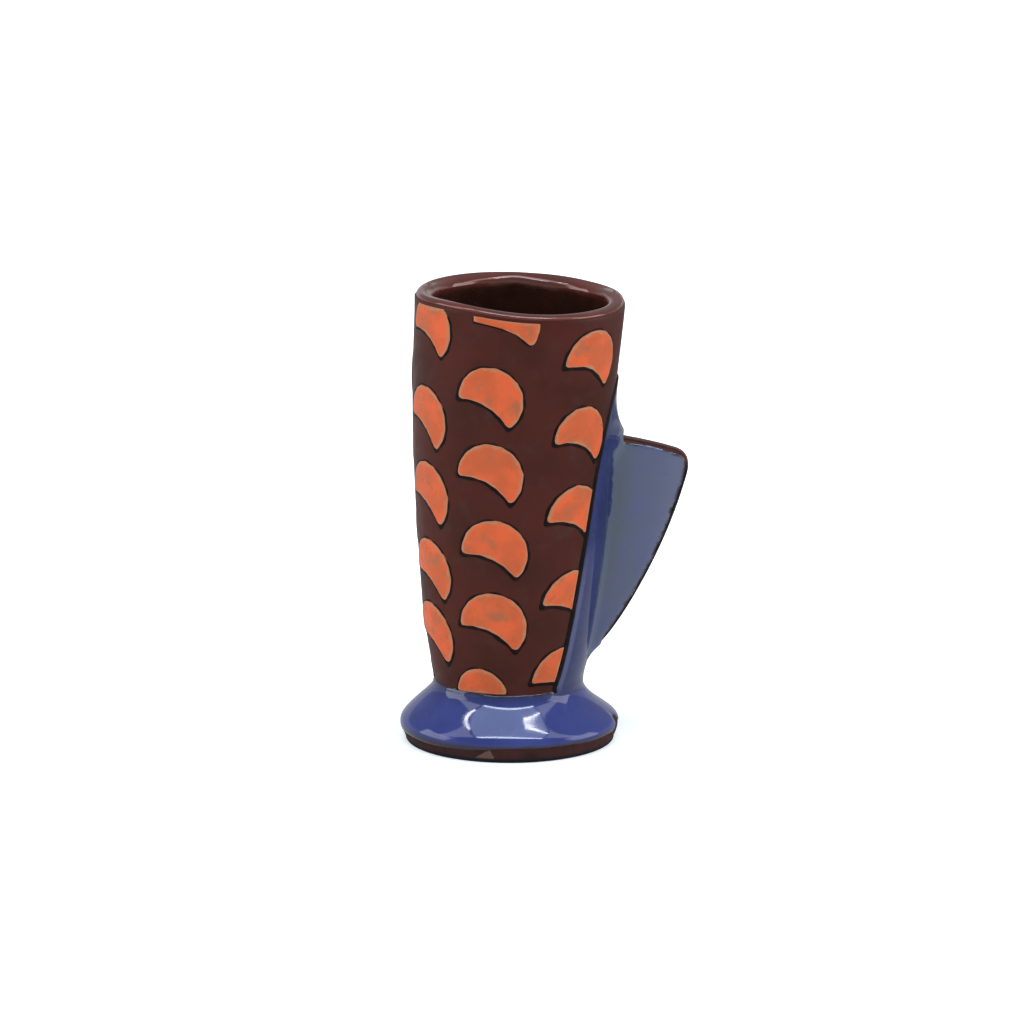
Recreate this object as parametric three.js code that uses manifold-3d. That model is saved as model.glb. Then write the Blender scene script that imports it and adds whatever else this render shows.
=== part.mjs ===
// A hand-built ceramic shot cup: a tapered beaker luted to a flared foot, with a solid slab handle as a fin.
// Orange slip scales run down the wall in staggered columns. The foot, the handle and an arched panel round
// the handle's joint are glazed blue, and a black line closes the panel off from the brown clay.
// Millimetres, +Z up. The origin is the middle of the flat base, and the handle points along +X.

import * as THREE from "three";
import { mergeVertices } from "three/addons/utils/BufferGeometryUtils.js";
import Module from "manifold-3d";

// Driving dimensions.
const HEIGHT = 95; // the rim above the table, on the beaker's axis
const SEAM = 13; // where the beaker is luted to the foot
const WALL_RADII = [15.5, 18.2, 19.95, 20.75, 21.35, 22.0]; // outside, at equal steps from SEAM to HEIGHT
const WALL = 3.6; // wall thickness
const FLOOR = 17.5; // the inside bottom
const FLOOR_CORNER = 4; // radius between the inside bottom and the wall
const LEAN = 2.0; // how far the rim has sagged towards the handle
const RIM_OUTER_ROUND = 1.2;
const RIM_INNER_ROUND = 1.7;
const BASE_RADIUS = 21.1; // the flat that stands on the table
const FOOT_RADIUS = 23; // the widest ring, where the blue glaze stops
const FOOT_EDGE = 4.0; // height of that ring
const GLAZE = 0.4; // thickness of a glaze or slip layer
const BED = 0.1; // clearance of such a layer from the clay that it lies on
const GAP = 0.3; // clearance between neighbouring pieces
const FIN_THICKNESS = 5;
const FIN_EDGE_ROUND = 1.2;
const COIL_LEG = 3.5; // how far the coil in the fin's corner reaches along the wall and along the fin
const COIL_EDGE = 0.25; // its thickness where it fades out
const LINE_WIDTH = 1.2; // the black line round the blue panel

// Arches on the unrolled wall, centred on the fin: straight up to spring, then half an ellipse up to crown.
const ROOT_ARCH = { halfWidth: FIN_THICKNESS / 2, spring: 64, crown: 66.8, bottom: 20.5 };
const COIL_ARCH = { halfWidth: FIN_THICKNESS / 2 + COIL_LEG, spring: 64, crown: 72.5, bottom: 18.5 };
const LINE_ARCH = { halfWidth: 14, spring: 35, crown: 78, bottom: SEAM + 0.6 };

// A scale is a disc with a bite out of its lower left, in millimetres on the unrolled wall.
const SCALE = {
  radius: 7.1,
  centre: new THREE.Vector2(0, -0.5),
  biteRadius: 10.6,
  biteCentre: new THREE.Vector2(-4.85, -11.3),
  cornerRound: 1.4,
  rise: 6.6, // from the scale's reference point to its top
};
const SCALE_FLOOR = SEAM + 0.5; // scales are cut off level here, just above the foot
const SCALE_CEILING = HEIGHT - 1.3; // and here, just under the rim

// Columns of scales: azimuth from the handle in degrees, the height of each scale's top, and drift, which is
// how far each scale sits from its column's azimuth, in degrees.
const COLUMNS = [
  { name: "front_right", azimuth: -45, tops: [91.5, 75.1, 58, 39.5, 22.8], drift: [1, -2, -3, -1, -2] },
  {
    name: "front",
    azimuth: -102,
    tops: [100.6, 83.6, 67.5, 51.2, 35.3, 18.6],
    drift: [4, -2, -1, 2, 1, -10],
  },
  { name: "left_front", azimuth: -151, tops: [95.2, 77, 61, 44.7, 31], drift: [2, 0, 1, 0, -4] },
  {
    name: "left_back",
    azimuth: 155,
    tops: [100.5, 84.3, 67.2, 51.4, 34.6, 19],
    drift: [0, 2, -1, 1, -2, 3],
  },
  { name: "back", azimuth: 102, tops: [92.6, 76.2, 59.1, 42.8, 26.4], drift: [1, -1, 2, 0, 4] },
  {
    name: "back_right",
    azimuth: 46,
    tops: [99.8, 83, 66.8, 50.1, 33.9, 17.9],
    drift: [0, 2, 0, 1, 3, 6],
  },
];

// Mesh resolution.
const ROUND_STEPS = 60; // facets round the cup
const WALL_STEPS = 9; // rings up the wall
const SCALE_POINTS = 24; // corners on a scale's outline
const ARCH_STEPS = 34; // stations along an arch

const MATERIALS = {
  clay: new THREE.MeshStandardMaterial({ color: 0x5a2d24, roughness: 0.35, metalness: 0 }),
  bareClay: new THREE.MeshStandardMaterial({ color: 0x4f2a22, roughness: 0.8, metalness: 0 }),
  blue: new THREE.MeshStandardMaterial({ color: 0x3b4890, roughness: 0.12, metalness: 0 }),
  orange: new THREE.MeshStandardMaterial({ color: 0xd9683c, roughness: 0.3, metalness: 0 }),
  black: new THREE.MeshStandardMaterial({ color: 0x1d1210, roughness: 0.6, metalness: 0 }),
  liner: new THREE.MeshStandardMaterial({ color: 0x40201a, roughness: 0.15, metalness: 0 }),
};

const wasm = await Module();
wasm.setup();

// Outside radius of the beaker at a height, on a smooth curve through WALL_RADII.
const wallCurve = new THREE.CatmullRomCurve3(
  WALL_RADII.map((radius, i) => new THREE.Vector3(radius, 0, i)),
  false,
  "catmullrom",
);
function wallRadius(z) {
  const share = THREE.MathUtils.clamp((z - SEAM) / (HEIGHT - SEAM), 0, 1);
  return wallCurve.getPoint(share).x;
}

// The beaker's axis bends slightly towards the handle above the seam, and its rings tilt with it.
function bend(p) {
  const share = Math.max(0, p.z - SEAM) / (HEIGHT - SEAM);
  const shift = LEAN * share ** 2;
  const slope = (2 * LEAN * share) / (HEIGHT - SEAM);
  return new THREE.Vector3(p.x + shift, p.y, p.z - p.x * slope);
}

function bendGeometry(geometry) {
  const position = geometry.getAttribute("position");
  const p = new THREE.Vector3();
  for (let i = 0; i < position.count; i += 1) {
    const bent = bend(p.fromBufferAttribute(position, i));
    position.setXYZ(i, bent.x, bent.y, bent.z);
  }
  return geometry;
}

// The point that lies across millimetres round the beaker's wall from an azimuth, at height z, lift off
// the clay.
function onWall(across, z, lift, azimuth = 0) {
  const radius = wallRadius(z) + lift;
  const angle = azimuth + across / radius;
  return bend(new THREE.Vector3(radius * Math.cos(angle), radius * Math.sin(angle), z));
}

// A solid of revolution about +Z from a profile of [radius, height] points.
function turned(profile) {
  const points = profile.map(([radius, z]) => new THREE.Vector2(radius, z));
  return new THREE.LatheGeometry(points, ROUND_STEPS).rotateX(Math.PI / 2);
}

// Six times the volume that a list of faces encloses; negative if they face inwards.
function signedVolume(points, faces) {
  return faces.reduce((sum, [a, b, c]) => sum + points[a].dot(points[b].clone().cross(points[c])), 0);
}

// A closed surface over a stack of rings with equal numbers of points, between two single points.
function closedSkin(rings) {
  const points = [];
  const indices = rings.map((ring) => ring.map((point) => points.push(point) - 1));
  const count = rings[1].length;
  const faces = [];
  for (let i = 0; i < rings.length - 1; i += 1) {
    const [low, high] = [indices[i], indices[i + 1]];
    for (let j = 0; j < count; j += 1) {
      const next = (j + 1) % count;
      if (low.length > 1) faces.push([low[j], low[next], high[next % high.length]]);
      if (high.length > 1) faces.push([low[j % low.length], high[next], high[j]]);
    }
  }
  const facingOut = signedVolume(points, faces) > 0 ? faces : faces.map(([a, b, c]) => [a, c, b]);
  const geometry = new THREE.BufferGeometry().setFromPoints(points);
  geometry.setIndex(facingOut.flat());
  return geometry;
}

function toSolid(geometry) {
  const bare = new THREE.BufferGeometry();
  bare.setAttribute("position", geometry.getAttribute("position"));
  if (geometry.index) bare.setIndex(geometry.index);
  const merged = mergeVertices(bare, 1e-4);
  return new wasm.Manifold(
    new wasm.Mesh({
      numProp: 3,
      vertProperties: new Float32Array(merged.getAttribute("position").array),
      triVerts: new Uint32Array(merged.index.array),
    }),
  );
}

function toGeometry(solid) {
  const mesh = solid.getMesh();
  const geometry = new THREE.BufferGeometry();
  geometry.setAttribute("position", new THREE.BufferAttribute(mesh.vertProperties, 3));
  geometry.setIndex(new THREE.BufferAttribute(mesh.triVerts, 1));
  return geometry;
}

// Points of a quarter circle, used for the rounded corners of a turned profile.
function quarterTurn(centreRadius, centreZ, round, from, to, steps) {
  return Array.from({ length: steps + 1 }, (_, i) => {
    const angle = THREE.MathUtils.degToRad(from + ((to - from) * i) / steps);
    return [centreRadius + round * Math.cos(angle), centreZ + round * Math.sin(angle)];
  });
}

// Inside of the beaker from the rim down to the middle of the floor, with the surface moved in by inset.
function insideProfile(inset) {
  const top = HEIGHT - RIM_INNER_ROUND;
  const radiusAt = (z) => wallRadius(z) - WALL - inset;
  const corner = FLOOR_CORNER - inset;
  const cornerTop = FLOOR + FLOOR_CORNER;
  const wall = Array.from({ length: WALL_STEPS }, (_, i) => {
    const z = top + ((cornerTop - top) * i) / (WALL_STEPS - 1);
    return [radiusAt(z), z];
  });
  const round = quarterTurn(radiusAt(cornerTop) - corner, cornerTop, corner, 0, -90, 4).slice(1);
  return [...wall, ...round, [0, FLOOR + inset]];
}

function beaker() {
  const wallTop = HEIGHT - RIM_OUTER_ROUND;
  const outside = Array.from({ length: WALL_STEPS + 1 }, (_, i) => {
    const z = SEAM + ((wallTop - SEAM) * i) / WALL_STEPS;
    return [wallRadius(z), z];
  });
  const outerLip = quarterTurn(wallRadius(wallTop) - RIM_OUTER_ROUND, wallTop, RIM_OUTER_ROUND, 0, 90, 3);
  const innerTop = HEIGHT - RIM_INNER_ROUND;
  const innerLip = quarterTurn(
    wallRadius(innerTop) - WALL + RIM_INNER_ROUND,
    innerTop,
    RIM_INNER_ROUND,
    90,
    180,
    3,
  );
  const profile = [[0, SEAM], ...outside, ...outerLip.slice(1), ...innerLip, ...insideProfile(0).slice(1)];
  return bendGeometry(turned(profile));
}

// Glaze inside the beaker: a thin skin from just below the lip down over the floor.
function liner() {
  const clayside = insideProfile(BED).slice(1);
  const wetside = insideProfile(BED + GLAZE).slice(1);
  return bendGeometry(turned([...clayside.reverse(), ...wetside]));
}

// The foot's flare from its widest ring up to the neck, at a depth under the finished surface.
function flareProfile(depth) {
  const curve = new THREE.CubicBezierCurve(
    new THREE.Vector2(FOOT_RADIUS, FOOT_EDGE),
    new THREE.Vector2(22.7, 6.3),
    new THREE.Vector2(17, 9.5),
    new THREE.Vector2(WALL_RADII[0], SEAM),
  );
  return curve.getPoints(8).map((p, i, all) => {
    const along = i / (all.length - 1);
    const tangent = curve.getTangent(along);
    const level = i === all.length - 1;
    return [p.x - tangent.y * depth, level ? SEAM : p.y + tangent.x * depth];
  });
}

function foot() {
  const edgeInset = GLAZE + BED;
  const bevel = [
    [0, 0],
    [BASE_RADIUS - 0.5, 0],
    [BASE_RADIUS, 0.5],
    [FOOT_RADIUS - 0.3, FOOT_EDGE - 0.6],
    [FOOT_RADIUS - edgeInset, FOOT_EDGE - 0.2],
  ];
  return turned([...bevel, ...flareProfile(edgeInset).slice(1), [0, SEAM]]);
}

function footGlaze() {
  const clayside = flareProfile(GLAZE);
  const airside = flareProfile(0).reverse();
  const ring = [...airside, ...clayside];
  return turned([...ring, ring[0]].reverse());
}

// The slab's outline in its own upright plane: outer edge, rounded corner and sloping top.
function finShape() {
  const shape = new THREE.Shape();
  shape.moveTo(10, 17.8);
  shape.lineTo(15.5, 17.8);
  shape.bezierCurveTo(22.4, 21.1, 32.3, 41.7, 36.4, 57.4);
  shape.quadraticCurveTo(37.7, 62, 34, 63.1);
  shape.lineTo(25.2, 65.4);
  shape.lineTo(10, 65.9);
  shape.lineTo(10, 17.8);
  return shape;
}

// A plate of the fin's outline, from one side of its middle plane to the other, with rounded edges.
function finPlate(from, to, inset, round) {
  const plate = new THREE.ExtrudeGeometry(finShape(), {
    depth: to - from - 2 * round,
    bevelEnabled: true,
    bevelThickness: round,
    bevelSize: round,
    bevelOffset: -round - inset,
    bevelSegments: round > 0.5 ? 3 : 1,
    curveSegments: 10,
  });
  return plate.translate(0, 0, from + round).rotateX(Math.PI / 2);
}

// Everything inside the wall, grown by clearance: what the fin is cut back to.
function wallBlock(clearance) {
  const steps = WALL_STEPS;
  const outside = Array.from({ length: steps + 1 }, (_, i) => {
    const z = SEAM - 1 + ((HEIGHT - SEAM) * i) / steps;
    return [wallRadius(z) + clearance, z];
  });
  return toSolid(bendGeometry(turned([[0, outside[0][1]], ...outside, [0, outside[steps][1]]])));
}

function fin() {
  const half = FIN_THICKNESS / 2;
  return toGeometry(toSolid(finPlate(-half, half, 0, FIN_EDGE_ROUND)).subtract(wallBlock(GAP)));
}

// Glaze on one face of the fin; side is -1 for the front face and 1 for the back.
function finGlaze(side) {
  const near = FIN_THICKNESS / 2 + BED;
  const far = near + GLAZE;
  const round = 0.1;
  const plate = side > 0 ? finPlate(-far, -near, 1.4, round) : finPlate(near, far, 1.4, round);
  return toGeometry(toSolid(plate).subtract(wallBlock(COIL_LEG + 2 * GAP)));
}

// A point on an arch of the unrolled wall: share runs from -1 at the front's bottom end, over the crown, to
// 1 at the back's.
function archPoint(arch, share) {
  const side = Math.sign(share);
  if (Math.abs(share) > 0.5) {
    const down = (Math.abs(share) - 0.5) * 2;
    return new THREE.Vector2(side * arch.halfWidth, THREE.MathUtils.lerp(arch.spring, arch.bottom, down));
  }
  const angle = share * Math.PI;
  return new THREE.Vector2(
    arch.halfWidth * Math.sin(angle),
    arch.spring + (arch.crown - arch.spring) * Math.cos(angle),
  );
}

function grownArch(arch, by) {
  return { ...arch, halfWidth: arch.halfWidth + by, crown: arch.crown + by };
}

// Sweeps a section along two arches. The section is made of [reach, lift] pairs: reach runs from 0 on the
// inner arch to 1 on the outer one, and lift is the height off the clay.
function archSweep(inner, outer, section, centre) {
  const place = (share, [reach, lift]) => {
    const p = archPoint(inner, share).lerp(archPoint(outer, share), reach);
    return onWall(p.x, p.y, lift);
  };
  const shares = Array.from({ length: ARCH_STEPS + 1 }, (_, i) => -1 + (2 * i) / ARCH_STEPS);
  const rings = shares.map((share) => section(share).map((corner) => place(share, corner)));
  return closedSkin([[place(-1, centre)], ...rings, [place(1, centre)]]);
}

// The coil of clay pressed into the corner between fin and wall: a hollow quarter-round that thins out.
function rootCoil() {
  const inner = grownArch(ROOT_ARCH, GAP);
  const section = (share) => {
    const lowEnd = THREE.MathUtils.smoothstep(Math.abs(share), 0.55, 1);
    const crown = 1 - THREE.MathUtils.smoothstep(Math.abs(share), 0, 0.35);
    const leg = COIL_LEG * (1 - 0.62 * lowEnd - 0.35 * crown);
    const edge = GAP + COIL_EDGE;
    const hollow = [0, 22.5, 45, 67.5, 90].map((degrees) => {
      const angle = THREE.MathUtils.degToRad(degrees);
      return [1 - 0.9 * Math.sin(angle), edge + (leg - edge) * (1 - Math.cos(angle))];
    });
    return [[0, GAP], [1, GAP], ...hollow, [0, leg]];
  };
  return archSweep(inner, COIL_ARCH, section, [0.15, GAP + COIL_EDGE / 2]);
}

// Blue glaze on the wall between the coil and the black line.
function panelGlaze() {
  const inner = grownArch(COIL_ARCH, GAP);
  const outer = grownArch(LINE_ARCH, -LINE_WIDTH / 2 - GAP / 2);
  const low = BED;
  const high = BED + GLAZE;
  const reaches = [0, 0.25, 0.5, 0.75, 1];
  const under = reaches.map((reach) => [reach, low]);
  const over = reaches.map((reach) => [reach, high]).reverse();
  return archSweep(inner, outer, () => [...under, ...over], [0.5, (low + high) / 2]);
}

// The black line: a low flat band along its arch, over the crown from the front of the neck to the back.
function panelLine() {
  const inner = grownArch(LINE_ARCH, -LINE_WIDTH / 2);
  const outer = grownArch(LINE_ARCH, LINE_WIDTH / 2);
  const section = () => [[0, BED], [1, BED], [1, BED + GLAZE], [0, BED + GLAZE]];
  return archSweep(inner, outer, section, [0.5, BED + GLAZE / 2]);
}

// How far a place on the unrolled wall is outside the arch; negative is inside it.
function outsideArch(arch, across, z) {
  const rise = Math.max(0, z - arch.spring) / (arch.crown - arch.spring);
  const halfWidth = rise < 1 ? arch.halfWidth * Math.sqrt(1 - rise ** 2) : 0;
  return rise < 1 ? Math.abs(across) - halfWidth : Math.hypot(across, z - arch.crown);
}

// The greater of two distances, with the corner between them rounded.
function roundedMax(a, b, round) {
  const blend = Math.max(round - Math.abs(a - b), 0) / round;
  return Math.max(a, b) + (blend ** 2 * round) / 4;
}

// How far a place is outside a scale, in millimetres: negative inside.
function outsideScale(across, z, centreAngle, centreZ) {
  const p = new THREE.Vector2(across, z - centreZ);
  const disc = p.distanceTo(SCALE.centre) - SCALE.radius;
  const bite = SCALE.biteRadius - p.distanceTo(SCALE.biteCentre);
  const crescent = roundedMax(disc, bite, SCALE.cornerRound);
  const cutLevel = Math.max(z - SCALE_CEILING, SCALE_FLOOR - z);
  const acrossFromFin = across + centreAngle * wallRadius(z);
  const clearOfLine = LINE_WIDTH / 2 + GAP - outsideArch(LINE_ARCH, acrossFromFin, z);
  return Math.max(crescent, cutLevel, clearOfLine);
}

// A place well inside what is left of a scale once the rim, foot and panel have cut it.
function scaleHeart(outside) {
  const heart = new THREE.Vector2();
  let weight = 0;
  for (let x = -SCALE.radius; x <= SCALE.radius; x += 0.5) {
    for (let y = -SCALE.radius; y <= SCALE.radius; y += 0.5) {
      const depth = Math.max(0, -outside(x, y)) ** 2;
      heart.add(new THREE.Vector2(x, y).multiplyScalar(depth));
      weight += depth;
    }
  }
  return weight > 0 ? heart.divideScalar(weight) : null;
}

// The distance from the heart to the outline in one direction, by halving.
function reachOf(outside, heart, direction) {
  let near = 0;
  let far = 2.5 * SCALE.radius;
  for (let i = 0; i < 30; i += 1) {
    const middle = (near + far) / 2;
    const p = direction.clone().multiplyScalar(middle).add(heart);
    if (outside(p.x, p.y) < 0) near = middle;
    else far = middle;
  }
  return near;
}

// A pad of slip on the wall that fills a scale's outline.
function scalePad(azimuth, centreZ) {
  const outside = (x, y) => outsideScale(x, y + centreZ, azimuth, centreZ);
  const heart = scaleHeart(outside);
  const outline = Array.from({ length: SCALE_POINTS }, (_, i) => {
    const angle = (2 * Math.PI * i) / SCALE_POINTS;
    const direction = new THREE.Vector2(Math.cos(angle), Math.sin(angle));
    return direction.clone().multiplyScalar(reachOf(outside, heart, direction));
  });
  const ring = (share, lift) =>
    outline.map((p) => onWall(heart.x + share * p.x, centreZ + heart.y + share * p.y, lift, azimuth));
  const middle = (lift) => [onWall(heart.x, centreZ + heart.y, lift, azimuth)];
  const low = BED + 0.05;
  const high = low + GLAZE;
  const dome = high + 0.1;
  return closedSkin([
    middle(low),
    ring(0.55, low),
    ring(1, low),
    ring(0.97, high),
    ring(0.55, dome),
    middle(dome),
  ]);
}

const cup = new THREE.Group();

function add(name, geometry, material) {
  const mesh = new THREE.Mesh(geometry, material);
  mesh.name = name;
  cup.add(mesh);
}

add("beaker", beaker(), MATERIALS.clay);
add("foot", foot(), MATERIALS.bareClay);
add("fin_handle", fin(), MATERIALS.clay);
add("fin_root_coil", rootCoil(), MATERIALS.blue);
add("foot_glaze", footGlaze(), MATERIALS.blue);
add("panel_glaze", panelGlaze(), MATERIALS.blue);
add("fin_glaze_front", finGlaze(-1), MATERIALS.blue);
add("fin_glaze_back", finGlaze(1), MATERIALS.blue);
add("panel_line", panelLine(), MATERIALS.black);
add("liner_glaze", liner(), MATERIALS.liner);

for (const { name, azimuth, tops, drift } of COLUMNS) {
  tops.forEach((top, row) => {
    const pad = scalePad(THREE.MathUtils.degToRad(azimuth + drift[row]), top - SCALE.rise);
    add(`scale_${name}_${row + 1}`, pad, MATERIALS.orange);
  });
}

export default cup;
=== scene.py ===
"""A hand-built ceramic shot cup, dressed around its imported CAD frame.

Lengths are in millimetres until a mesh is made. Shapes are worked out on an ideal, upright cup, and
by_hand() then gives every piece the same lean and the same unevenness, so that the pieces stay in touch.
"""

import math

import bpy
import numpy as np
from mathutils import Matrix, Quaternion, Vector


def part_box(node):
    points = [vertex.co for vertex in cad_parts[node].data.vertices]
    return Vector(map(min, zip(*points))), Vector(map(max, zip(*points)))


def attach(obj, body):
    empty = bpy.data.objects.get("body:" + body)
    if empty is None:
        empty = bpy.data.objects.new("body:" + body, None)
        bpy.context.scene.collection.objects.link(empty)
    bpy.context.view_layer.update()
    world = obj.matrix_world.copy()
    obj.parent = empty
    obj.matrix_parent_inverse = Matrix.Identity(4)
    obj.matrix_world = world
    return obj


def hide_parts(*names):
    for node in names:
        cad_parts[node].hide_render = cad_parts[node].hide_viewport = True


MM = 0.001

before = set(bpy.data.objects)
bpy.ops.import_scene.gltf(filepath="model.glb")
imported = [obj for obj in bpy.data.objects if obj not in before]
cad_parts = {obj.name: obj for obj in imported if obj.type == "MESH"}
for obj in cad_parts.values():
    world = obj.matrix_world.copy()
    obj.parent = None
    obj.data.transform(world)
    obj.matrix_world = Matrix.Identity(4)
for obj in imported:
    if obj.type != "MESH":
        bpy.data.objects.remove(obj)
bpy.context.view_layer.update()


def cad_corners(node):
    """The lowest and highest corners of a CAD node, in millimetres."""
    low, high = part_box(node)
    return np.array(low) / MM, np.array(high) / MM


GLAZE = 0.3  # thickness of the blue glaze
GLAZE_EDGE = 1.6  # width over which it rises from nothing

# The cup's dimensions: what the frame's boxes say, and the rest as the CAD has them.
SEAM = cad_corners("beaker")[0][2]  # where the beaker is luted to the foot
FOOT_RADIUS = cad_corners("foot_glaze")[1][0] - GLAZE
FOOT_EDGE = cad_corners("foot_glaze")[0][2]  # height of the foot's widest ring
FIN_THICKNESS = np.ptp([corner[1] for corner in cad_corners("fin_handle")])
HEIGHT = 95
WALL_RADII = np.array([15.5, 18.2, 19.95, 20.75, 21.35, 22.0])  # at equal steps from SEAM to HEIGHT
WALL = 3.6
FLOOR = 17.5  # height of the floor inside
FLOOR_CORNER = 4  # radius of the corner between that floor and the wall
LEAN = 2.0  # how far the rim's middle is from above the foot's middle
BASE_RADIUS = 21.4
RIM_ROUND = 1.5
FIN_EDGE_ROUND = 1.3
LINE_WIDTH = 1.25  # of the black line round the panel
LINE_ARCH = {"half_width": 14, "spring": 35, "crown": 78, "bottom": SEAM - 0.4}

# A scale is a disc with a bite out of its lower left, on the unrolled wall.
SCALE_RADIUS = 7.1
SCALE_CENTRE = (0, -0.5)
BITE_RADIUS = 10.6
BITE_CENTRE = (-4.85, -11.3)
SCALE_CORNER = 1.25  # radius of its two horns
SCALE_RISE = 6.6  # from its centre to its top
SCALE_FLOOR = SEAM + 0.1  # scales are cut off below this height
SCALE_CEILING = HEIGHT - 1.3  # and above this one
RING_WIDTH = 0.5  # the black line round a scale
RING_SHIFT = (-0.12, -0.17)  # that line is drawn a little to the lower left of its scale

# Columns of scales: azimuth from the handle in degrees, the height of each scale's top, and how far each
# scale sits from its column's azimuth.
COLUMNS = {
    "front_right": (-45, (91.5, 75.1, 58, 39.5, 22.8), (1, -2, -3, -1, -2)),
    "front": (-102, (100.2, 83.6, 67.5, 51.2, 35.3, 20), (4, -2, -1, 2, 1, -10)),
    "left_front": (-151, (95.9, 77, 61, 44.7, 31), (2, 0, 1, 0, -4)),
    "left_back": (155, (100.5, 84.3, 67.2, 51.4, 34.6, 19), (0, 2, -1, 1, -2, 3)),
    "back": (102, (92.6, 76.2, 59.1, 42.8, 26.4), (1, -1, 2, 0, 4)),
    "back_right": (46, (99.8, 83, 66.8, 50.1, 33.9, 17.9), (0, 2, 0, 1, 3, 6)),
}

TURNS = {"front_1": 13}  # degrees that a scale is turned by, beyond its wobble
THIN_RINGS = {"front_1": 0.1}  # width of a black line that is thinner than RING_WIDTH
SMALL_SCALES = {"front_6": 0.79}  # size of a scale that is smaller than the others, which are 1
TILT_WOBBLE = 3  # degrees
SIZE_WOBBLE = 0.02

COIL_RADIUS = 1.5  # hollow of the coil in the corner between fin and wall
FIN_BARE_EDGE = 0.65  # width of the worn edge that the glaze leaves free on the fin
ROUND_STEPS = 240  # facets round a turned piece
SCALE_STEPS = 120  # facets round a scale
PATH_STEPS = 220  # stations along the black line round the panel
FIN_CELL = 0.44  # grid cells that the fin and the glaze are made from
GLAZE_CELL = 0.42

# Sine waves on the wall: height, number of waves round the cup, phase, and the height of wall in which the
# phase goes on by one radian.
WALL_RIPPLES = ((0.1, 2, 0.6, 23), (0.07, 3, -1.1, -14), (0.05, 1, 0, 5.5), (0.03, 5, 2, -8))
# Sine waves round the cup: height, number of waves and phase.
RIM_WAVES = ((0.28, 2, -0.5), (0.2, 3, 1.9), (0.1, 5, 0.4))
LIP_WAVES = ((0.22, 2, 2.2), (0.16, 3, -0.6), (0.1, 7, 0))
GLAZE_TOP_WAVES = ((0.22, 2, 1.2), (0.12, 5, 0), (0.07, 9, 2))
FOOT_RIM_WAVES = ((0.12, 4, 0.7), (0.06, 11, 0))


def smoothstep(low, high, x):
    t = np.clip((x - low) / (high - low), 0, 1)
    return t * t * (3 - 2 * t)


def swell(x, centre, width):
    """A smooth hump of height 1."""
    return np.exp(-(((x - centre) / width) ** 2))


def waves(kinds, angle):
    """The sum of some sine waves round the cup."""
    return sum(height * np.sin(count * angle + phase) for height, count, phase in kinds)


def rounded_max(a, b, size):
    """The greater of two values, with the corner between them rounded."""
    return np.maximum(a, b) + np.maximum(size - np.abs(a - b), 0) ** 2 / (4 * size)


# --- The ideal cup's surfaces ---


def bezier(points, steps):
    """Points along a Bezier curve through the first and last of its control points."""
    t = np.linspace(0, 1, steps + 1)[:, None]
    points = [np.array(p, float) for p in points]
    while len(points) > 1:
        points = [a * (1 - t) + b * t for a, b in zip(points, points[1:])]
    return points[0]


def wall_radius(z):
    """Outside radius of the beaker: a smooth curve through WALL_RADII."""
    padded = np.concatenate(
        [[2 * WALL_RADII[0] - WALL_RADII[1]], WALL_RADII, [2 * WALL_RADII[-1] - WALL_RADII[-2]]]
    )
    place = (z - SEAM) / (HEIGHT - SEAM) * (len(WALL_RADII) - 1)
    step = np.clip(np.floor(place).astype(int), 0, len(WALL_RADII) - 2)
    t = place - step
    a, b, c, d = (padded[step + k] for k in range(4))
    return b + 0.5 * t * ((c - a) + t * ((2 * a - 5 * b + 4 * c - d) + t * (3 * (b - c) + d - a)))


# The foot's side as (radius, height): an undercut bevel below its widest ring, and a flare above it.
WIDEST = (FOOT_RADIUS - 0.1, FOOT_EDGE - 0.5)
BEVEL = bezier([(BASE_RADIUS + 0.3, 0.5), (22.1, 1.5), (22.6, 2.3), WIDEST], 20)
SHOULDER = [(22.45, 4.76), (22.6, 4.8), (20.2, 6.65), (17.4, 9.75)]
NECK = [(16.05, 9.65), (15.3, 12.25), (15.4, SEAM)]
FLARE = bezier([WIDEST, *SHOULDER, *NECK], 160)
FOOT_SIDE = np.concatenate([BEVEL, FLARE[1:]])


def foot_radius(z):
    """Outside radius of the foot from its base, over its widest ring, to the neck, and less above that."""
    return np.interp(z, FOOT_SIDE[:, 1], FOOT_SIDE[:, 0]) - 0.5 * np.maximum(z - SEAM, 0)


def body_radius(z):
    """Outside radius of beaker and foot together, with a soft neck where they meet."""
    neck_round = 0.9
    neck_hollow = 0.25 * swell(z, SEAM, 3)
    return rounded_max(wall_radius(z), foot_radius(z), neck_round) - neck_hollow


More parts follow.
